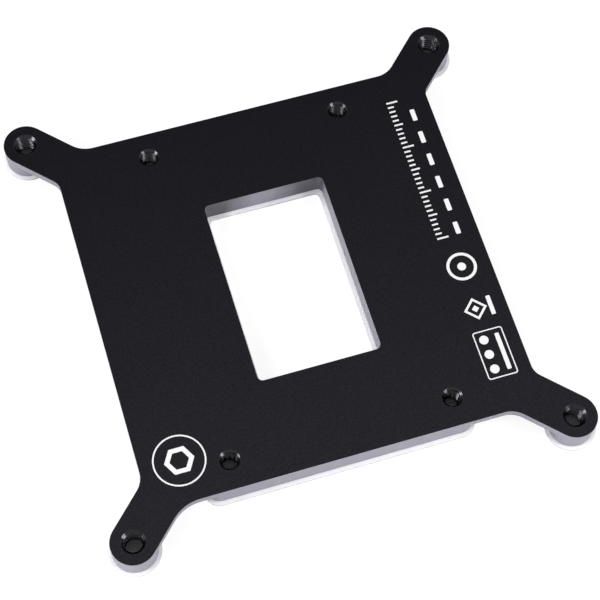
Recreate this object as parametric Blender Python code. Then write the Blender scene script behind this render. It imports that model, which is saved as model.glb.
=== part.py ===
"""Processor backplate: a milled aluminium plate with four screw ears and five die-cut adhesive pads.

Units are metres. +Z is up, the black outer face looks up, and the origin lies under
the middle of the plate, on the surface that the pads stand on.
"""

import math

import bmesh
import bpy
from mathutils import Vector

MM = 0.001

# Screw ears, with their holes at the corners of a square
EAR_HOLE_SPACING = 80.0 * MM
EAR_RADIUS = 4.06 * MM
EAR_THREAD = 4.0 * MM
EAR_THREAD_FLARE = 0.15 * MM

# Milled plate, whose sides lie inside the square of the ear holes
BODY_INSET = 4.1 * MM
PLATE_THICKNESS = 1.85 * MM
METAL_THICKNESS = 4.8 * MM
TOP_EDGE_BREAK = 0.1 * MM

# Inner corners between an ear's arm and the body, which were blended by hand:
# the radius on the left or right side, then the radius on the front or rear side
REAR_RIGHT_FILLETS = (2.4 * MM, 4.6 * MM)
REAR_LEFT_FILLETS = (3.0 * MM, 5.1 * MM)
FRONT_LEFT_FILLETS = (4.4 * MM, 7.3 * MM)
FRONT_RIGHT_FILLETS = (3.1 * MM, 4.5 * MM)

# Raised platform on the underside, flush with the body's front and rear, between two thin wings
LEFT_WING_WIDTH = 10.7 * MM
RIGHT_WING_WIDTH = 12.7 * MM
PLATFORM_CORNER = 2.0 * MM

# Socket window
WINDOW_WIDTH = 22.9 * MM
WINDOW_LENGTH = 36.2 * MM
WINDOW_CORNER = 1.0 * MM
WINDOW_EDGE_BREAK = 0.1 * MM

# Socket frame screws, two in a row at the rear and two wider apart at the front: how far each
# row lies in from its side of the body, and how far its screws lie in from the left and right
REAR_ROW_INSET = 5.05 * MM
REAR_SCREW_INSET = 17.4 * MM
FRONT_ROW_INSET = 5.25 * MM
FRONT_SCREW_INSET = 15.5 * MM
SCREW_THREAD = 3.5 * MM
SCREW_THREAD_FLARE = 0.125 * MM

# Adhesive pads
PAD_THICKNESS = 0.35 * MM
PAD_SEAT_GAP = 0.3 * MM
PLATFORM_PAD_OVERHANG = 0.7 * MM
EAR_PAD_OVERHANG = 0.6 * MM
PAD_HOLE_CLEARANCE = 0.25 * MM

# Roundness
END_ARC_STEPS = 24
FILLET_STEPS = 8
CORNER_STEPS = 6
BORE_STEPS = 48
SMOOTH_LIMIT = math.radians(30)

# How far a cutter runs past the face that it opens
CUTTER_EXCESS = 1.0 * MM

# How near a region's middle must lie to a boss's or the platform's to be that region
MIDDLE_MARGIN = 0.5 * MM

METAL_UNDERSIDE = PAD_THICKNESS + PAD_SEAT_GAP
TOP = METAL_UNDERSIDE + METAL_THICKNESS
LEDGE = TOP - PLATE_THICKNESS
EAR_OFFSET = EAR_HOLE_SPACING / 2
HALF_BODY = EAR_OFFSET - BODY_INSET
PLATFORM_LEFT = -HALF_BODY + LEFT_WING_WIDTH
PLATFORM_RIGHT = HALF_BODY - RIGHT_WING_WIDTH

# Material slots of the plate
COATED = 0
MACHINED = 1


def clear_scene():
    for old in list(bpy.data.objects):
        bpy.data.objects.remove(old, do_unlink=True)


def material(name, colour, roughness, metallic):
    made = bpy.data.materials.new(name)
    made.use_nodes = True
    shader = made.node_tree.nodes["Principled BSDF"]
    shader.inputs["Base Color"].default_value = (*colour, 1.0)
    shader.inputs["Roughness"].default_value = roughness
    shader.inputs["Metallic"].default_value = metallic
    return made


def arc(centre_x, centre_y, radius, start, end, steps):
    """Points along an arc, both ends included. Angles are in degrees."""
    points = []
    for step in range(steps + 1):
        angle = math.radians(start + (end - start) * step / steps)
        points.append((centre_x + radius * math.cos(angle), centre_y + radius * math.sin(angle)))
    return points


def circle(centre_x, centre_y, radius, steps=BORE_STEPS):
    return arc(centre_x, centre_y, radius, 0, 360, steps)[:-1]


def rounded_rectangle(left, right, front, rear, radius):
    """Anticlockwise outline that starts at the front side's left end."""
    corners = (
        (right - radius, front + radius, 270),
        (right - radius, rear - radius, 0),
        (left + radius, rear - radius, 90),
        (left + radius, front + radius, 180),
    )
    points = []
    for centre_x, centre_y, start in corners:
        points += arc(centre_x, centre_y, radius, start, start + 90, CORNER_STEPS)
    return points[-1:] + points[:-1]


def ear_outline(side_fillet, end_fillet):
    """The rear right ear from the body's right side to its rear side, in three stretches.

    The arm runs at 45 degrees and is as wide as the round end of the ear. The fillets are
    tangent to the arm and to the body.
    """
    reach = math.sqrt(2)
    side_x = HALF_BODY + side_fillet
    side_y = side_x - (EAR_RADIUS + side_fillet) * reach
    end_y = HALF_BODY + end_fillet
    end_x = end_y - (EAR_RADIUS + end_fillet) * reach
    return (
        arc(side_x, side_y, side_fillet, 180, 135, FILLET_STEPS),
        arc(EAR_OFFSET, EAR_OFFSET, EAR_RADIUS, -45, 135, END_ARC_STEPS),
        arc(end_x, end_y, end_fillet, -45, -90, FILLET_STEPS),
    )


def wing_and_bosses(side):
    """Outline of the thin wing on one side of the platform, and of its two round bosses.

    side is 1 for the right wing and -1 for the left one. The wing's outline is open: it runs
    from the front side to the rear side, and round the inner half of each boss.
    """
    front_fillets = FRONT_RIGHT_FILLETS if side > 0 else FRONT_LEFT_FILLETS
    rear_fillets = REAR_RIGHT_FILLETS if side > 0 else REAR_LEFT_FILLETS
    inner_half = arc(EAR_OFFSET, EAR_OFFSET, EAR_RADIUS, -45, -225, END_ARC_STEPS)
    wing = []
    bosses = []
    for end, fillets in ((-1, front_fillets), (1, rear_fillets)):
        side_arc, outer_half, end_arc = ear_outline(*fillets)
        stretch = side_arc + inner_half + end_arc
        if end < 0:
            stretch.reverse()
        wing += [(side * x, end * y) for x, y in stretch]
        boss = outer_half + inner_half[-2:0:-1]
        bosses.append([(side * x, end * y) for x, y in boss])
    return wing, bosses


def mesh_object(name, shape, materials):
    bmesh.ops.recalc_face_normals(shape, faces=shape.faces[:])
    mesh = bpy.data.meshes.new(name)
    shape.to_mesh(mesh)
    shape.free()
    mesh.shade_smooth()
    mesh.set_sharp_from_angle(angle=SMOOTH_LIMIT)
    for one in materials:
        mesh.materials.append(one)
    made = bpy.data.objects.new(name, mesh)
    bpy.context.scene.collection.objects.link(made)
    return made


def loft(shape, rings, slot=COATED):
    """Closed body through rings of as many points each, given as (outline, height) pairs."""
    loops = []
    for outline, height in rings:
        loops.append([shape.verts.new((x, y, height)) for x, y in outline])
    faces = [shape.faces.new(loops[0]), shape.faces.new(loops[-1])]
    for lower, upper in zip(loops, loops[1:]):
        for index in range(len(lower)):
            after = (index + 1) % len(lower)
            faces.append(shape.faces.new((lower[index], lower[after], upper[after], upper[index])))
    for face in faces:
        face.material_index = slot


def cutter_object(name, shape, materials):
    made = mesh_object(name, shape, materials)
    made.hide_render = True
    made.display_type = "WIRE"
    return made


def cut(target, cutter):
    boolean = target.modifiers.new(cutter.name, "BOOLEAN")
    boolean.operation = "DIFFERENCE"
    boolean.solver = "EXACT"
    boolean.object = cutter


def ear_centres():
    return [(side * EAR_OFFSET, end * EAR_OFFSET) for end in (1, -1) for side in (-1, 1)]


def screw_centres():
    rear = (HALF_BODY - REAR_SCREW_INSET, HALF_BODY - REAR_ROW_INSET)
    front = (HALF_BODY - FRONT_SCREW_INSET, FRONT_ROW_INSET - HALF_BODY)
    return [(side * x, y) for x, y in (rear, front) for side in (-1, 1)]


def add_bore_cutter(shape, centre, thread, flare):
    """Threaded hole through the metal, at the thread's outer diameter, countersunk at both faces."""
    bore = circle(*centre, thread / 2)
    mouth = circle(*centre, thread / 2 + flare)
    loft(
        shape,
        (
            (mouth, METAL_UNDERSIDE - CUTTER_EXCESS),
            (mouth, METAL_UNDERSIDE),
            (bore, METAL_UNDERSIDE + flare),
            (bore, TOP - flare),
            (mouth, TOP),
            (mouth, TOP + CUTTER_EXCESS),
        ),
    )


def window_outline(grow):
    return rounded_rectangle(
        -WINDOW_WIDTH / 2 - grow,
        WINDOW_WIDTH / 2 + grow,
        -WINDOW_LENGTH / 2 - grow,
        WINDOW_LENGTH / 2 + grow,
        WINDOW_CORNER + grow,
    )


def platform_outline(grow=0.0):
    return rounded_rectangle(
        PLATFORM_LEFT - grow,
        PLATFORM_RIGHT + grow,
        -HALF_BODY - grow,
        HALF_BODY + grow,
        PLATFORM_CORNER + grow,
    )


def milled_blank():
    """Plate with ears, then the platform and the bosses pulled down from its underside."""
    shape = bmesh.new()
    corners = {}

    def corner(point):
        key = (round(point[0], 7), round(point[1], 7))
        if key not in corners:
            corners[key] = shape.verts.new((point[0], point[1], TOP))
        return corners[key]

    def region(points):
        loop = []
        for point in points:
            found = corner(point)
            if found not in loop:
                loop.append(found)
        return shape.faces.new(loop)

    platform = platform_outline()
    half = len(platform) // 2
    front_left, right_edge = platform[0], platform[1 : half + 1]
    left_edge = platform[half + 1 :] + [front_left]
    right_wing, right_bosses = wing_and_bosses(1)
    left_wing, left_bosses = wing_and_bosses(-1)
    region(right_wing + right_edge[::-1])
    region(left_wing + left_edge)
    for outline in right_bosses + left_bosses + [platform]:
        region(outline)

    # The deep regions, known by their middles, carry on below the ledge
    deep_middles = [Vector((x, y)) for x, y in ear_centres()]
    deep_middles.append(Vector(((PLATFORM_RIGHT + PLATFORM_LEFT) / 2, 0.0)))

    def is_deep(face):
        middle = face.calc_center_bounds().to_2d()
        return any((middle - other).length < MIDDLE_MARGIN for other in deep_middles)

    slab = bmesh.ops.extrude_face_region(shape, geom=shape.faces[:], use_keep_orig=True)
    lowered = [item for item in slab["geom"] if isinstance(item, bmesh.types.BMVert)]
    bmesh.ops.translate(shape, verts=lowered, vec=(0, 0, LEDGE - TOP))
    under = [item for item in slab["geom"] if isinstance(item, bmesh.types.BMFace)]
    deep = [face for face in under if is_deep(face)]
    pulled = bmesh.ops.extrude_face_region(shape, geom=deep)
    lowered = [item for item in pulled["geom"] if isinstance(item, bmesh.types.BMVert)]
    bmesh.ops.translate(shape, verts=lowered, vec=(0, 0, METAL_UNDERSIDE - LEDGE))
    bmesh.ops.delete(shape, geom=deep, context="FACES_ONLY")

    # The outer face becomes one flat, and its rim loses its sharpness
    bmesh.ops.recalc_face_normals(shape, faces=shape.faces[:])
    outer = [face for face in shape.faces if face.calc_center_median().z > TOP - TOP_EDGE_BREAK / 2]
    bmesh.ops.dissolve_faces(shape, faces=outer, use_verts=True)
    for face in shape.faces:
        face.material_index = MACHINED
    outer_face = max(shape.faces, key=lambda face: face.calc_center_median().z)
    outer_face.material_index = COATED
    bmesh.ops.bevel(
        shape,
        geom=outer_face.edges[:],
        offset=TOP_EDGE_BREAK,
        offset_type="OFFSET",
        segments=1,
        affect="EDGES",
        material=MACHINED,
    )
    return shape


def build_backplate(coating, bare_metal):
    slots = (coating, bare_metal)
    plate = mesh_object("backplate", milled_blank(), slots)

    window = bmesh.new()
    loft(
        window,
        (
            (window_outline(0.0), METAL_UNDERSIDE - CUTTER_EXCESS),
            (window_outline(0.0), TOP - WINDOW_EDGE_BREAK),
            (window_outline(WINDOW_EDGE_BREAK), TOP),
            (window_outline(WINDOW_EDGE_BREAK), TOP + CUTTER_EXCESS),
        ),
        MACHINED,
    )
    cut(plate, cutter_object("window_cutter", window, slots))

    bores = bmesh.new()
    for centre in ear_centres():
        add_bore_cutter(bores, centre, EAR_THREAD, EAR_THREAD_FLARE)
    for centre in screw_centres():
        add_bore_cutter(bores, centre, SCREW_THREAD, SCREW_THREAD_FLARE)
    cut(plate, cutter_object("bore_cutter", bores, slots))
    return plate


def build_socket_pad(film):
    """Pad on the platform: it overhangs the metal all round, in the window too."""
    body = bmesh.new()
    outline = platform_outline(PLATFORM_PAD_OVERHANG)
    loft(body, ((outline, 0.0), (outline, PAD_THICKNESS)))
    pad = mesh_object("socket_pad", body, (film,))

    openings = bmesh.new()
    lowest, highest = -CUTTER_EXCESS, PAD_THICKNESS + CUTTER_EXCESS
    inner = rounded_rectangle(
        -WINDOW_WIDTH / 2 + PLATFORM_PAD_OVERHANG,
        WINDOW_WIDTH / 2 - PLATFORM_PAD_OVERHANG,
        -WINDOW_LENGTH / 2 + PLATFORM_PAD_OVERHANG,
        WINDOW_LENGTH / 2 - PLATFORM_PAD_OVERHANG,
        WINDOW_CORNER,
    )
    loft(openings, ((inner, lowest), (inner, highest)))
    for centre in screw_centres():
        hole = circle(*centre, SCREW_THREAD / 2 + PAD_HOLE_CLEARANCE)
        loft(openings, ((hole, lowest), (hole, highest)))
    cut(pad, cutter_object("socket_pad_cutter", openings, (film,)))
    return pad


def build_ear_pad(name, centre, film):
    """Ring under one ear, made about its own screw hole and then set in place."""
    shape = bmesh.new()
    hole = circle(0.0, 0.0, EAR_THREAD / 2 + PAD_HOLE_CLEARANCE)
    rim = circle(0.0, 0.0, EAR_RADIUS + EAR_PAD_OVERHANG)
    walls = []
    for outline in (hole, rim):
        lower = [shape.verts.new((x, y, 0.0)) for x, y in outline]
        upper = [shape.verts.new((x, y, PAD_THICKNESS)) for x, y in outline]
        walls.append((lower, upper))
    (hole_low, hole_high), (rim_low, rim_high) = walls
    for index in range(BORE_STEPS):
        after = (index + 1) % BORE_STEPS
        for first, second in (
            (hole_low, hole_high),
            (rim_low, rim_high),
            (hole_low, rim_low),
            (hole_high, rim_high),
        ):
            shape.faces.new((first[index], first[after], second[after], second[index]))
    pad = mesh_object(name, shape, (film,))
    pad.location = (*centre, 0.0)
    return pad


def main():
    clear_scene()
    coating = material("black_coating", (0.012, 0.012, 0.014), 0.42, 0.3)
    bare_metal = material("bare_aluminium", (0.56, 0.55, 0.59), 0.38, 1.0)
    film = material("pad_film", (0.86, 0.86, 0.88), 0.5, 0.0)
    build_backplate(coating, bare_metal)
    build_socket_pad(film)
    names = ("ear_pad_rear_left", "ear_pad_rear_right", "ear_pad_front_left", "ear_pad_front_right")
    for name, centre in zip(names, ear_centres()):
        build_ear_pad(name, centre, film)


main()
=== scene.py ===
"""Looks of a processor backplate: coated and bare metal, cut threads, adhesive layers and white ink.

Units are metres, in the row frame: +Z out of the black outer face, origin under the plate.
"""

import math

import bmesh
import bpy
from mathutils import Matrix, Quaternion, Vector


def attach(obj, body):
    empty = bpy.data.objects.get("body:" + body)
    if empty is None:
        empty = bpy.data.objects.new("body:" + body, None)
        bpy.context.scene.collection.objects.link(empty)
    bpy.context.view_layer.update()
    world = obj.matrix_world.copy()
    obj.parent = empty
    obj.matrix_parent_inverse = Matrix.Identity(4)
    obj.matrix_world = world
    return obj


MM = 0.001
WHITE = (1.0, 1.0, 1.0, 1.0)

# Camera at the photograph's place. Its turn is in degrees, its sensor and lens in millimetres
CAMERA_PLACE = (-41.69 * MM, -120.38 * MM, 276.99 * MM)
CAMERA_TURN = (24.25729, -1.32974, -16.98632)
SENSOR_WIDTH = 36.0
LENS = 99.0914
LENS_SHIFT = 0.00063
CLIP_START = 0.01

# Soft boxes round the plate: name, place, size, radiance and roll in degrees
LAMPS = (
    ("rear_box", (0.09, 0.27, 0.80), (0.30, 0.30), 1.0, 0.0),
    ("rear_left_box", (-0.295, 0.295, 0.498), (0.26, 0.12), 10.0, 0.0),
    ("high_right_box", (0.373, -0.190, 0.498), (0.26, 0.12), 12.0, 0.0),
    ("high_left_box", (-0.419, -0.145, 0.475), (0.26, 0.12), 15.0, 0.0),
    ("low_right_box", (0.427, -0.385, 0.170), (0.24, 0.14), 20.5, -15.5),
    ("low_left_box", (-0.582, 0.031, 0.140), (0.24, 0.14), 20.5, 15.0),
)
# White surroundings: how strong they are as a light, and where they are seen or reflected
WORLD_LIGHT = 0.13
WORLD_SEEN = 1.0

FLOOR_HALF = 0.25
FLOOR_DROP = 0.02 * MM
FLOOR_COLOUR = (0.85, 0.85, 0.85, 1.0)
FLOOR_REFLECTED = WHITE
# For the camera: the share of white that the lamps give, in which shadows show, and the glow
FLOOR_SEEN = (0.24, 0.24, 0.24, 1.0)
FLOOR_GLOW = 0.84
# The same share under the screw holes, where nothing glows, and how far past them that goes
FLOOR_IN_HOLES = (1.7, 1.7, 1.7, 1.0)
HOLE_MARGIN = 1.0 * MM

# Sizes of the solids, which the threads, the adhesive, the ink and the masks follow
METAL_UNDERSIDE = 0.65 * MM
TOP = 5.45 * MM
PAD_TOP = 0.35 * MM
PLATFORM_LEFT = -25.2 * MM
PLATFORM_RIGHT = 23.2 * MM
HALF_BODY = 35.9 * MM
PLATFORM_CORNER = 2.0 * MM
HALF_WINDOW = (11.45 * MM, 18.1 * MM)
WINDOW_CORNER = 1.0 * MM
EAR_OFFSET = 40.0 * MM
EAR_RADIUS = 4.06 * MM
EAR_BORE = 2.0 * MM
EAR_FLARE = 0.15 * MM
REAR_SCREW = (18.5 * MM, 30.85 * MM)
FRONT_SCREW = (20.4 * MM, -30.65 * MM)
SCREW_BORE = 1.75 * MM
SCREW_FLARE = 0.125 * MM
EAR_PITCH = 0.7 * MM
SCREW_PITCH = 0.6 * MM

# Meshes: edges stay sharp above this angle in degrees, and points closer than this are welded
SHARP_ANGLE = 30.0
WELD_DISTANCE = 0.0005 * MM
RING_STEPS = 48
CORNER_STEPS = 6

# How far the adhesive stays back from the metal's edges, and clear of the faces it joins
ADHESIVE_INSET = 0.12 * MM
ADHESIVE_GAP = 0.01 * MM
ADHESIVE_HOLE_CLEARANCE = 0.25 * MM

# Cut threads, in shares of the pitch: how far the crest stands in from the bore's wall, and how
# much of the height the crest and the root take
THREAD_DEPTH = 0.5413
CREST_SHARE = 0.25
ROOT_SHARE = 0.125
# How far from a thread's ends its groove starts, and is full
THREAD_START = 0.15 * MM
THREAD_FULL = 0.45 * MM
# Half of this is clear of the bore's wall, and half is the thread's own wall at its thinnest
THREAD_WALL = 0.012 * MM
THREAD_TURN_STEPS = 72
THREAD_ROW = 0.06 * MM

# Looks. Colours are linear, and shades are shares of a colour, from its darkest spot to its
# lightest. A texture is a noise's scale, detail and roughness, and a relief is a bump's
# strength and depth. A noise's usual values are stretched to the range that is asked for.
NOISE_RANGE = (0.3, 0.7)
# Specular level of the film and the ink
MATT_SPECULAR = 0.3

# Coat: where it ends on the rim, how uneven that line is, and how far it goes past a flare
COAT_RIM = TOP - 0.15 * MM
COAT_RIM_WAVE = 0.06 * MM
COAT_RIM_TEXTURE = (900.0, 2.0, 0.5)
COAT_PAST_FLARE = 0.01 * MM
COAT_IOR = 1.04
# Copies of the coat's black for the front and the rear, the front one lighter: painted sheen and
# painted shade
COAT_FRONT_PAINTED_SHEEN = (0.0187, 0.0179, 0.0222)
COAT_REAR_PAINTED_SHADE = (0.0099, 0.0094, 0.0122)
COAT_SHADES = (0.70, 1.30)
COAT_GRAIN = (2600.0, 4.0, 0.7)
COAT_ROUGHNESS = (0.42, 0.54)
# Painted shade: the coat is drawn a little darker from the front to the rear, between these places
COAT_PAINTED_SHADE_FADE = (-38.0 * MM, 42.0 * MM)
COAT_PAINTED_SHADE_WAVE = 12.0 * MM
COAT_PAINTED_SHADE_TEXTURE = (60.0, 2.0, 0.5)
# In the holes it has its own colour, and its roughness is changed by this
HOLE_COAT = (0.030, 0.029, 0.032)
HOLE_ROUGHNESS_CHANGE = -0.32

# Bare metal, with machining lines that are a noise drawn out along the walls and faces. A face
# is where the normal's height is above the limit.
METAL = (0.335, 0.327, 0.375)
METAL_SHADES = (0.90, 1.10)
METAL_ROUGHNESS = (0.42, 0.55)
METAL_LINES = (2600.0, 3.0, 0.65)
LINES_ON_WALLS = (1.0, 1.0, 0.06)
LINES_ON_FACES = (0.04, 1.0, 1.0)
FACE_ABOVE = 0.7
PLATE_RELIEF = (0.25, 0.008 * MM)

# Painted shade that darkens the window's end walls towards their corners: from the middle across,
# where it starts and is full, and the strip along that it lies in
PAINTED_SHADE_ACROSS = (2.5 * MM, 8.0 * MM)
PAINTED_SHADE_STRIP = (17.0 * MM, 18.3 * MM)
PAINTED_SHADE_SHARE = 0.58
PAINTED_SHADE_COLOUR = (0.02, 0.02, 0.022)
PAINTED_SHADE_WAVE = 1.5 * MM
PAINTED_SHADE_TEXTURE = (400.0, 2.0, 0.5)

# Pad film. Its cut edge, where the normal's height is below the limit, is painted grey as painted
# shade.
FILM = (0.95, 0.945, 0.965)
FILM_SHADES = (0.98, 1.02)
FILM_PAINTED_SHADE_EDGE = (0.62, 0.61, 0.65)
FILM_PAINTED_SHADE_EDGE_SHADES = (0.9, 1.1)
FILM_PAINTED_SHADE_BELOW = 0.5
FILM_TEXTURE = (700.0, 4.0, 0.5)
FILM_ROUGHNESS = (0.42, 0.58)
FILM_RELIEF = (0.2, 0.01 * MM)

THREAD_LOOK = {
    "colour": HOLE_COAT,
    "shades": (0.8, 1.2),
    "texture": (5200.0, 3.0, 0.6),
    "roughness": (0.13, 0.23),
    "relief": (0.1, 0.002 * MM),
}
ADHESIVE_LOOK = {
    "colour": (0.34, 0.33, 0.37),
    "shades": (0.8, 1.2),
    "texture": (1500.0, 3.0, 0.5),
    "roughness": (0.25, 0.45),
    "relief": (0.3, 0.02 * MM),
}
INK_LOOK = {
    "colour": (0.86, 0.86, 0.87),
    "shades": (0.93, 1.05),
    "texture": (4000.0, 3.0, 0.5),
    "roughness": (0.45, 0.62),
    "relief": (0.2, 0.004 * MM),
}

# White ink on the outer face. Boxes are left, right, front and rear. Radii go inwards: a ring,
# and a dot where there is a third.
INK_LOW = TOP - 0.005 * MM
INK_HIGH = TOP + 0.01 * MM
BADGE_PLACE = (-28.75 * MM, -28.25 * MM)
BADGE_RING = (4.7 * MM, 4.42 * MM)
BADGE_HEXAGON = (2.7 * MM, 1.75 * MM)
HEXAGON_SIDES = 6
SCALE_LEFT = 27.9 * MM
SCALE_START = -0.5 * MM
SCALE_STEP = 1.0 * MM
SCALE_TICKS = 31
TICK_WIDTH = 0.34 * MM
# Lengths of every tenth tick, every fifth and the others
TICK_LENGTHS = ((10, 2.2 * MM), (5, 1.7 * MM), (1, 1.2 * MM))
# Left and right side of the blocks, whose gaps are as long as they are
BLOCK_COLUMN = (31.7 * MM, 32.6 * MM)
BLOCK_LENGTH = 2.5 * MM
BLOCKS = 6
TARGET_PLACE = (30.4 * MM, -7.0 * MM)
TARGET_RADII = (2.8 * MM, 2.25 * MM, 0.8 * MM)
DIAMOND_PLACE = (30.0 * MM, -15.7 * MM)
DIAMOND_RADII = (2.2 * MM, 1.6 * MM, 0.7 * MM)
DIAMOND_SIDES = 4
DIAMOND_BAR = (32.5 * MM, 33.3 * MM, -17.6 * MM, -13.8 * MM)
FRAME_BOX = (27.7 * MM, 33.3 * MM, -29.5 * MM, -20.1 * MM)
FRAME_LINE = 0.22 * MM
FRAME_CORNER = 0.5 * MM
# The dots' place across, their radius and their places along
FRAME_DOTS = (29.4 * MM, 0.85 * MM, (-27.7 * MM, -24.8 * MM, -21.9 * MM))
FRAME_BAR = (31.6 * MM, 32.4 * MM, -28.4 * MM, -21.2 * MM)
BAR_CORNER_SHARE = 0.2


def node(tree, kind, inputs=None, **settings):
    """Add a node. Inputs are values or other nodes' sockets, by name or number."""
    made = tree.nodes.new(kind)
    for key, value in settings.items():
        setattr(made, key, value)
    for key, value in (inputs or {}).items():
        if isinstance(value, bpy.types.NodeSocket):
            tree.links.new(value, made.inputs[key])
        else:
            made.inputs[key].default_value = value
    return made


def maths(tree, operation, *values):
    """One step of arithmetic on numbers."""
    return node(tree, "ShaderNodeMath", dict(enumerate(values)), operation=operation).outputs[0]


def vector(tree, operation, *values):
    """One step of arithmetic on vectors."""
    made = node(tree, "ShaderNodeVectorMath", dict(enumerate(values)), operation=operation)
    return made.outputs["Value" if operation == "LENGTH" else "Vector"]


def parts(tree, value):
    """The three components of a vector."""
    split = node(tree, "ShaderNodeSeparateXYZ", {0: value}).outputs
    return split["X"], split["Y"], split["Z"]


def remap(tree, value, low, high, to_low, to_high):
    """Ramp from to_low at low to to_high at high, flat outside."""
    inputs = {0: value, 1: low, 2: high, 3: to_low, 4: to_high}
    return node(tree, "ShaderNodeMapRange", inputs).outputs[0]


def spread(tree, value, goal):
    """A noise's usual range stretched to another one."""
    return remap(tree, value, *NOISE_RANGE, *goal)


def blend(tree, factor, first, second, data_type="FLOAT"):
    """Mix of two numbers, or of two colours or vectors where the type says so."""
    # The node's sockets for the first value, the second and the result
    sockets = {"FLOAT": (2, 3, 0), "VECTOR": (4, 5, 1), "RGBA": (6, 7, 2)}
    from_first, from_second, out = sockets[data_type]
    inputs = {0: factor, from_first: first, from_second: second}
    return node(tree, "ShaderNodeMix", inputs, data_type=data_type).outputs[out]


def noise(tree, place, texture):
    """Noise with a texture's scale, detail and roughness."""
    scale, detail, roughness = texture
    inputs = {"Vector": place, "Scale": scale, "Detail": detail, "Roughness": roughness}
    return node(tree, "ShaderNodeTexNoise", inputs).outputs["Fac"]


def bump(tree, height, relief):
    """Normal that follows a height, with a relief's strength and depth."""
    strength, distance = relief
    inputs = {"Height": height, "Strength": strength, "Distance": distance}
    return node(tree, "ShaderNodeBump", inputs).outputs["Normal"]


def opaque(colour, share=1.0):
    """A share of a colour, with full opacity."""
    return (*(channel * share for channel in colour), 1.0)


def tint(tree, colour, factor, shades):
    """Colour that goes from its darkest shade to its lightest with a noise."""
    dark, light = (opaque(colour, shade) for shade in shades)
    return blend(tree, spread(tree, factor, (0.0, 1.0)), dark, light, "RGBA")


def object_place(tree):
    """Place on the object, which is the same as in the row frame."""
    return node(tree, "ShaderNodeTexCoord").outputs["Object"]


def normal_height(tree, output):
    """How far a normal points up or down, from 0 to 1."""
    facing = node(tree, "ShaderNodeNewGeometry").outputs[output]
    return maths(tree, "ABSOLUTE", parts(tree, facing)[2])


def new_material(name):
    """Material with its node tree and its shader."""
    made = bpy.data.materials.new(name)
    made.use_nodes = True
    tree = made.node_tree
    return made, tree, tree.nodes["Principled BSDF"]


def finish_shader(tree, shader, colour, roughness, normal):
    """Link what every shader here has."""
    tree.links.new(colour, shader.inputs["Base Color"])
    tree.links.new(roughness, shader.inputs["Roughness"])
    tree.links.new(normal, shader.inputs["Normal"])


def grained_material(name, colour, shades, texture, roughness, relief):
    """Material whose colour, roughness and relief follow one noise, and its shader."""
    made, tree, shader = new_material(name)
    grain = noise(tree, object_place(tree), texture)
    shade = tint(tree, colour, grain, shades)
    finish_shader(tree, shader, shade, spread(tree, grain, roughness), bump(tree, grain, relief))
    return made, shader


def hole_reach(tree, place):
    """Distance outside the countersink of the nearest screw hole; negative inside one."""
    side, along, _ = parts(tree, place)
    across = maths(tree, "ABSOLUTE", side)
    holes = (
        ((EAR_OFFSET, EAR_OFFSET), maths(tree, "ABSOLUTE", along), EAR_BORE + EAR_FLARE),
        (REAR_SCREW, along, SCREW_BORE + SCREW_FLARE),
        (FRONT_SCREW, along, SCREW_BORE + SCREW_FLARE),
    )
    nearest = None
    for (x, y), length, radius in holes:
        to_centre = {0: maths(tree, "SUBTRACT", across, x), 1: maths(tree, "SUBTRACT", length, y)}
        offset = node(tree, "ShaderNodeCombineXYZ", to_centre).outputs[0]
        reach = maths(tree, "SUBTRACT", vector(tree, "LENGTH", offset), radius)
        nearest = reach if nearest is None else maths(tree, "MINIMUM", nearest, reach)
    return nearest


def window_painted_shade(tree, place):
    """How dark the painted shade makes the window's end walls: most near their corners."""
    side, along, _ = parts(tree, place)
    across = maths(tree, "ABSOLUTE", side)
    length = maths(tree, "ABSOLUTE", along)
    cloud = noise(tree, place, PAINTED_SHADE_TEXTURE)
    edge = maths(tree, "MULTIPLY_ADD", cloud, PAINTED_SHADE_WAVE, across)
    strength = remap(tree, edge, *PAINTED_SHADE_ACROSS, 0.0, PAINTED_SHADE_SHARE)
    # Only in the strip, and no further past the window's sides than the strip goes past its ends
    for limit, operation, value in (
        (PAINTED_SHADE_STRIP[0], "GREATER_THAN", length),
        (PAINTED_SHADE_STRIP[1], "LESS_THAN", length),
        (HALF_WINDOW[0] + PAINTED_SHADE_STRIP[1] - HALF_WINDOW[1], "LESS_THAN", across),
    ):
        strength = maths(tree, "MULTIPLY", strength, maths(tree, operation, value, limit))
    return strength


def machining_lines(tree, place):
    """Lines that run down the side walls, and across the faces that look down."""
    along_wall = vector(tree, "MULTIPLY", place, LINES_ON_WALLS)
    along_face = vector(tree, "MULTIPLY", place, LINES_ON_FACES)
    is_face = maths(tree, "GREATER_THAN", normal_height(tree, "Normal"), FACE_ABOVE)
    return noise(tree, blend(tree, is_face, along_wall, along_face, "VECTOR"), METAL_LINES)


def coat_colour(tree, place, grain, in_hole):
    """The coat's black, with painted shade that darkens it towards the rear, and another one in the
    holes.
    """
    front = tint(tree, COAT_FRONT_PAINTED_SHEEN, grain, COAT_SHADES)
    rear = tint(tree, COAT_REAR_PAINTED_SHADE, grain, COAT_SHADES)
    cloud = noise(tree, place, COAT_PAINTED_SHADE_TEXTURE)
    depth = maths(tree, "MULTIPLY_ADD", cloud, COAT_PAINTED_SHADE_WAVE, parts(tree, place)[1])
    # Painted sheen at the front fades to painted shade at the rear
    coat = blend(tree, remap(tree, depth, *COAT_PAINTED_SHADE_FADE, 0.0, 1.0), front, rear, "RGBA")
    return blend(tree, in_hole, coat, opaque(HOLE_COAT), "RGBA")


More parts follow.
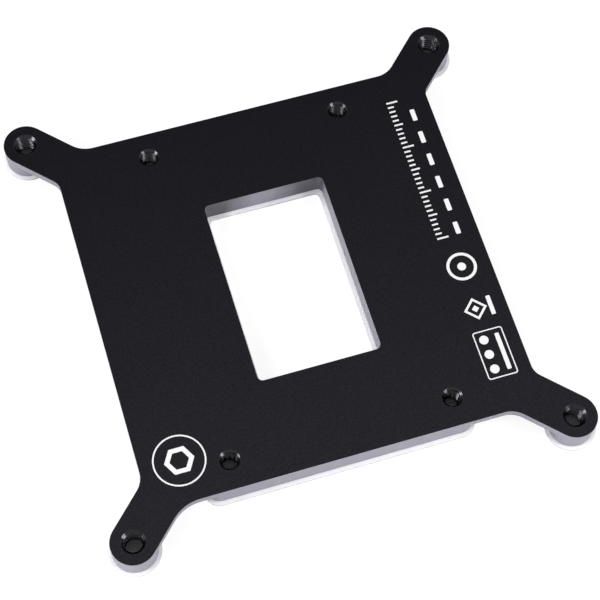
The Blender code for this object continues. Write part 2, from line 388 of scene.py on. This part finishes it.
def plate_material():
    """Satin black coat on the outer face and in the holes, bare machined metal elsewhere."""
    made, tree, shader = new_material("coated_plate")
    place = object_place(tree)
    grain = noise(tree, place, COAT_GRAIN)
    lines = machining_lines(tree, place)

    # The coat covers the rim's edge break and ends just below it, a little unevenly
    rim = maths(tree, "MULTIPLY_ADD", noise(tree, place, COAT_RIM_TEXTURE), COAT_RIM_WAVE, COAT_RIM)
    on_top = maths(tree, "GREATER_THAN", parts(tree, place)[2], rim)
    in_hole = maths(tree, "LESS_THAN", hole_reach(tree, place), COAT_PAST_FLARE)
    coated = maths(tree, "MAXIMUM", on_top, in_hole)

    metal = tint(tree, METAL, lines, METAL_SHADES)
    # Painted shade on the window's end walls, darkest near their corners
    metal = blend(tree, window_painted_shade(tree, place), metal, opaque(PAINTED_SHADE_COLOUR), "RGBA")
    colour = blend(tree, coated, metal, coat_colour(tree, place, grain, in_hole), "RGBA")

    # The bare metal reflects as metal does, and so does the coat in the holes
    bare = maths(tree, "SUBTRACT", 1.0, on_top)
    tree.links.new(maths(tree, "MAXIMUM", bare, in_hole), shader.inputs["Metallic"])
    # A low index keeps the coat black where it is seen at a shallow angle
    shader.inputs["IOR"].default_value = COAT_IOR

    coat_roughness = spread(tree, grain, COAT_ROUGHNESS)
    coat_roughness = maths(tree, "MULTIPLY_ADD", in_hole, HOLE_ROUGHNESS_CHANGE, coat_roughness)
    roughness = blend(tree, coated, spread(tree, lines, METAL_ROUGHNESS), coat_roughness)
    relief = blend(tree, coated, lines, grain)
    finish_shader(tree, shader, colour, roughness, bump(tree, relief, PLATE_RELIEF))
    return made


def thread_material():
    """The coat in the threads, which reflects as metal does."""
    made, shader = grained_material("coated_thread", **THREAD_LOOK)
    shader.inputs["Metallic"].default_value = 1.0
    return made


def pad_material():
    """White film with painted shade: its die-cut edge is grey."""
    made, tree, shader = new_material("pad_film")
    mottle = noise(tree, object_place(tree), FILM_TEXTURE)
    film = tint(tree, FILM, mottle, FILM_SHADES)
    edge = tint(tree, FILM_PAINTED_SHADE_EDGE, mottle, FILM_PAINTED_SHADE_EDGE_SHADES)
    on_shaded_edge = maths(tree, "LESS_THAN", normal_height(tree, "True Normal"), FILM_PAINTED_SHADE_BELOW)
    # Painted shade: the film's side faces are grey
    colour = blend(tree, on_shaded_edge, film, edge, "RGBA")
    roughness = spread(tree, mottle, FILM_ROUGHNESS)
    finish_shader(tree, shader, colour, roughness, bump(tree, mottle, FILM_RELIEF))
    shader.inputs["Specular IOR Level"].default_value = MATT_SPECULAR
    return made


def adhesive_material():
    """Cloudy grey adhesive."""
    made, _ = grained_material("adhesive", **ADHESIVE_LOOK)
    return made


def ink_material():
    """White ink with a faint mottle."""
    made, shader = grained_material("white_ink", **INK_LOOK)
    shader.inputs["Specular IOR Level"].default_value = MATT_SPECULAR
    return made


def floor_material():
    """White sweep that shows just white where it is lit, and keeps faint shadows.

    What shows through the screw holes gets no glow, so the holes stay dark.
    """
    made, tree, shader = new_material("white_floor")
    tree.nodes.remove(shader)
    path = node(tree, "ShaderNodeLightPath").outputs
    clear = maths(tree, "GREATER_THAN", hole_reach(tree, object_place(tree)), HOLE_MARGIN)
    reflected = maths(tree, "MAXIMUM", path["Is Glossy Ray"], path["Is Transmission Ray"])
    colour = blend(tree, reflected, FLOOR_COLOUR, FLOOR_REFLECTED, "RGBA")
    seen = blend(tree, clear, FLOOR_IN_HOLES, FLOOR_SEEN, "RGBA")
    colour = blend(tree, path["Is Camera Ray"], colour, seen, "RGBA")
    matt = node(tree, "ShaderNodeBsdfDiffuse", {"Color": colour}).outputs[0]
    glowing = maths(tree, "MULTIPLY", path["Is Camera Ray"], clear)
    strength = maths(tree, "MULTIPLY", glowing, FLOOR_GLOW)
    glow = node(tree, "ShaderNodeEmission", {"Strength": strength}).outputs[0]
    both = node(tree, "ShaderNodeAddShader", {0: matt, 1: glow}).outputs[0]
    tree.links.new(both, tree.nodes["Material Output"].inputs["Surface"])
    return made


def add_object(name, data):
    """New object in the scene."""
    made = bpy.data.objects.new(name, data)
    bpy.context.scene.collection.objects.link(made)
    return made


def mesh_piece(name, shape, surface):
    """Object from a bmesh, riding on the plate."""
    bmesh.ops.recalc_face_normals(shape, faces=shape.faces[:])
    mesh = bpy.data.meshes.new(name)
    shape.to_mesh(mesh)
    shape.free()
    mesh.shade_smooth()
    mesh.set_sharp_from_angle(angle=math.radians(SHARP_ANGLE))
    mesh.materials.append(surface)
    made = add_object(name, mesh)
    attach(made, "root")
    return made


def circle(centre, radius, steps=RING_STEPS):
    """Points of a circle, or of a regular polygon where the steps are few."""
    turns = [2 * math.pi * step / steps for step in range(steps)]
    return [(centre[0] + radius * math.cos(t), centre[1] + radius * math.sin(t)) for t in turns]


def rounded_rectangle(left, right, front, rear, radius):
    """Points of a rectangle whose corners are quarter circles."""
    corners = (
        (right - radius, front + radius, -90),
        (right - radius, rear - radius, 0),
        (left + radius, rear - radius, 90),
        (left + radius, front + radius, 180),
    )
    points = []
    for x, y, start in corners:
        for step in range(CORNER_STEPS + 1):
            turn = math.radians(start + 90 * step / CORNER_STEPS)
            points.append((x + radius * math.cos(turn), y + radius * math.sin(turn)))
    return points


def flat_piece(name, outlines, low, high, surface):
    """Flat closed body with these outlines; one that lies in another is a hole in it."""
    # The curve is drawn in millimetres, and its mesh is brought back to metres
    curve = bpy.data.curves.new(name, "CURVE")
    curve.dimensions = "2D"
    curve.fill_mode = "BOTH"
    curve.extrude = (high - low) / 2 / MM
    for outline in outlines:
        spline = curve.splines.new("POLY")
        spline.points.add(len(outline) - 1)
        for point, (x, y) in zip(spline.points, outline):
            point.co = (x / MM, y / MM, 0.0, 1.0)
        spline.use_cyclic_u = True
    source = add_object(name, curve)
    filled = source.evaluated_get(bpy.context.evaluated_depsgraph_get())
    shape = bmesh.new()
    shape.from_mesh(bpy.data.meshes.new_from_object(filled))
    bpy.data.objects.remove(source)
    bmesh.ops.scale(shape, vec=(MM, MM, MM), verts=shape.verts)
    bmesh.ops.translate(shape, vec=(0, 0, (low + high) / 2), verts=shape.verts)
    bmesh.ops.remove_doubles(shape, verts=shape.verts, dist=WELD_DISTANCE)
    return mesh_piece(name, shape, surface)


def thread_reach(turn, height, bore, pitch, share):
    """Radius of the thread's surface at an angle and a height, with a share of the full groove."""
    phase = (height / pitch - turn / (2 * math.pi)) % 1.0
    # From 0 in the middle of the groove's root to 1 in the middle of the crest
    away = abs(phase - 0.5) * 2
    flank = 1 - CREST_SHARE - ROOT_SHARE
    depth = min(1.0, max(0.0, (1 - CREST_SHARE - away) / flank))
    return bore - THREAD_DEPTH * pitch * (1 - depth * share)


def cut_thread(name, centre, bore, flare, pitch, surface):
    """Thread in one hole, cut back at both ends by the countersinks."""
    low, high = METAL_UNDERSIDE + flare, TOP - flare
    rows = round((high - low) / THREAD_ROW)
    shape = bmesh.new()
    rings = []
    for row in range(rows + 1):
        height = low + (high - low) * row / rows
        from_end = min(height - low, high - height)
        # The countersinks' cones, at 45 degrees, go on into the thread
        cone = bore - from_end
        share = (from_end - THREAD_START) / (THREAD_FULL - THREAD_START)
        share = min(1.0, max(0.0, share))
        ring = []
        for step in range(THREAD_TURN_STEPS):
            turn = 2 * math.pi * step / THREAD_TURN_STEPS
            reach = max(thread_reach(turn, height, bore, pitch, share), cone)
            reach = min(reach, bore - THREAD_WALL)
            x = centre[0] + reach * math.cos(turn)
            y = centre[1] + reach * math.sin(turn)
            ring.append(shape.verts.new((x, y, height)))
        rings.append(ring)
    outer = circle(centre, bore - THREAD_WALL / 2, THREAD_TURN_STEPS)
    for height in (high, low):
        rings.append([shape.verts.new((x, y, height)) for x, y in outer])
    for ring, following in zip(rings, rings[1:] + rings[:1]):
        for step in range(THREAD_TURN_STEPS):
            after = (step + 1) % THREAD_TURN_STEPS
            shape.faces.new((ring[step], ring[after], following[after], following[step]))
    return mesh_piece(name, shape, surface)


def corner_places():
    """Name and signs of the plate's four corners."""
    for side, left_right in ((-1, "left"), (1, "right")):
        for end, front_rear in ((-1, "front"), (1, "rear")):
            yield f"{front_rear}_{left_right}", side, end


def build_threads(surface):
    """A thread in each ear's hole and in each inner screw hole."""
    for place, side, end in corner_places():
        centre = (side * EAR_OFFSET, end * EAR_OFFSET)
        cut_thread(f"ear_thread_{place}", centre, EAR_BORE, EAR_FLARE, EAR_PITCH, surface)
        x, y = REAR_SCREW if end > 0 else FRONT_SCREW
        centre = (side * x, y)
        cut_thread(f"screw_thread_{place}", centre, SCREW_BORE, SCREW_FLARE, SCREW_PITCH, surface)


def build_adhesive(surface):
    """The adhesive between the metal and each pad."""
    low, high = PAD_TOP + ADHESIVE_GAP, METAL_UNDERSIDE - ADHESIVE_GAP
    inset = ADHESIVE_INSET
    platform = (PLATFORM_LEFT + inset, PLATFORM_RIGHT - inset, -HALF_BODY + inset, HALF_BODY - inset)
    across, along = HALF_WINDOW[0] + inset, HALF_WINDOW[1] + inset
    outlines = [
        rounded_rectangle(*platform, PLATFORM_CORNER),
        rounded_rectangle(-across, across, -along, along, WINDOW_CORNER),
    ]
    for x, y in (REAR_SCREW, FRONT_SCREW):
        for side in (-1, 1):
            outlines.append(circle((side * x, y), SCREW_BORE + ADHESIVE_HOLE_CLEARANCE))
    flat_piece("socket_adhesive", outlines, low, high, surface)
    for place, side, end in corner_places():
        centre = (side * EAR_OFFSET, end * EAR_OFFSET)
        rings = [
            circle(centre, EAR_RADIUS - inset),
            circle(centre, EAR_BORE + ADHESIVE_HOLE_CLEARANCE),
        ]
        flat_piece(f"ear_adhesive_{place}", rings, low, high, surface)


def bar(left, right, front, rear):
    """Rectangle whose corner radius follows its shorter side."""
    radius = min(right - left, rear - front) * BAR_CORNER_SHARE
    return rounded_rectangle(left, right, front, rear, radius)


def scale_outlines():
    """Row of ticks, with a row of blocks beside it."""
    outlines = []
    for tick in range(SCALE_TICKS):
        length = next(size for every, size in TICK_LENGTHS if tick % every == 0)
        middle = SCALE_START + tick * SCALE_STEP
        sides = (middle - TICK_WIDTH / 2, middle + TICK_WIDTH / 2)
        outlines.append(bar(SCALE_LEFT, SCALE_LEFT + length, *sides))
    for block in range(BLOCKS):
        start = SCALE_START + 2 * block * BLOCK_LENGTH
        outlines.append(bar(*BLOCK_COLUMN, start, start + BLOCK_LENGTH))
    return outlines


def build_ink(surface):
    """Plain shapes: a ring round a hexagon, a tick scale, a target, a diamond and a dotted box."""
    outlines = [circle(BADGE_PLACE, radius) for radius in BADGE_RING]
    outlines += [circle(BADGE_PLACE, radius, HEXAGON_SIDES) for radius in BADGE_HEXAGON]
    outlines += scale_outlines()
    outlines += [circle(TARGET_PLACE, radius) for radius in TARGET_RADII]
    outlines += [circle(DIAMOND_PLACE, radius, DIAMOND_SIDES) for radius in DIAMOND_RADII]
    outlines.append(bar(*DIAMOND_BAR))

    left, right, front, rear = FRAME_BOX
    inner = (left + FRAME_LINE, right - FRAME_LINE, front + FRAME_LINE, rear - FRAME_LINE)
    outlines.append(rounded_rectangle(*FRAME_BOX, FRAME_CORNER))
    outlines.append(rounded_rectangle(*inner, FRAME_CORNER - FRAME_LINE))
    x, radius, places = FRAME_DOTS
    outlines += [circle((x, y), radius) for y in places]
    outlines.append(bar(*FRAME_BAR))
    flat_piece("ink_marks", outlines, INK_LOW, INK_HIGH, surface)


def area_lamp(name, place, size, radiance, roll):
    """Soft box that looks at the plate's middle; its power follows from its size and radiance."""
    data = bpy.data.lights.new(name, "AREA")
    data.shape = "RECTANGLE"
    data.size, data.size_y = size
    data.energy = radiance * math.pi * size[0] * size[1]
    lamp = add_object(name, data)
    lamp.location = place
    towards = (-Vector(place)).to_track_quat("-Z", "Y")
    lamp.rotation_euler = (towards @ Quaternion((0, 0, 1), math.radians(roll))).to_euler()


def build_world():
    """White all round for what is seen or reflected, and dimmer as a light."""
    world = bpy.data.worlds.new("studio")
    world.use_nodes = True
    bpy.context.scene.world = world
    tree = world.node_tree
    background = tree.nodes["Background"]
    background.inputs["Color"].default_value = WHITE
    path = node(tree, "ShaderNodeLightPath").outputs
    seen = maths(tree, "MAXIMUM", path["Is Camera Ray"], path["Is Glossy Ray"])
    seen = maths(tree, "MAXIMUM", seen, path["Is Transmission Ray"])
    tree.links.new(blend(tree, seen, WORLD_LIGHT, WORLD_SEEN), background.inputs["Strength"])


def build_floor():
    """Square sheet just under the pads."""
    floor = bpy.data.meshes.new("floor")
    corners = ((-1, -1), (1, -1), (1, 1), (-1, 1))
    places = [(x * FLOOR_HALF, y * FLOOR_HALF, -FLOOR_DROP) for x, y in corners]
    floor.from_pydata(places, [], [(0, 1, 2, 3)])
    floor.materials.append(floor_material())
    sweep = add_object("floor", floor)


def build_camera():
    """Camera that takes the photograph's view."""
    data = bpy.data.cameras.new("camera")
    data.sensor_width = SENSOR_WIDTH
    data.lens = LENS
    data.shift_y = LENS_SHIFT
    data.clip_start = CLIP_START
    camera = add_object("camera", data)
    camera.location = CAMERA_PLACE
    camera.rotation_euler = [math.radians(turn) for turn in CAMERA_TURN]
    bpy.context.scene.camera = camera


def dress_solids(nodes):
    """Give the CAD nodes their looks."""
    film = pad_material()
    plate = plate_material()
    for name, solid in nodes.items():
        solid.data.materials.clear()
        solid.data.materials.append(plate if name == "backplate" else film)


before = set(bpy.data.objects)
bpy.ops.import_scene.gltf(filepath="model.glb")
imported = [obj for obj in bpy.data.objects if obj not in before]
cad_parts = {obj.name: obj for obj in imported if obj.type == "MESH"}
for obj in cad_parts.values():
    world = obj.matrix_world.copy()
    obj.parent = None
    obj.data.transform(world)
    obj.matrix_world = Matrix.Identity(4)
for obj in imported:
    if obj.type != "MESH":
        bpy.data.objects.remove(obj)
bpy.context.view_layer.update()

bpy.context.scene.view_settings.view_transform = "Standard"
build_camera()
build_world()
build_floor()
for lamp_settings in LAMPS:
    area_lamp(*lamp_settings)
dress_solids(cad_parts)
build_threads(thread_material())
build_adhesive(adhesive_material())
build_ink(ink_material())
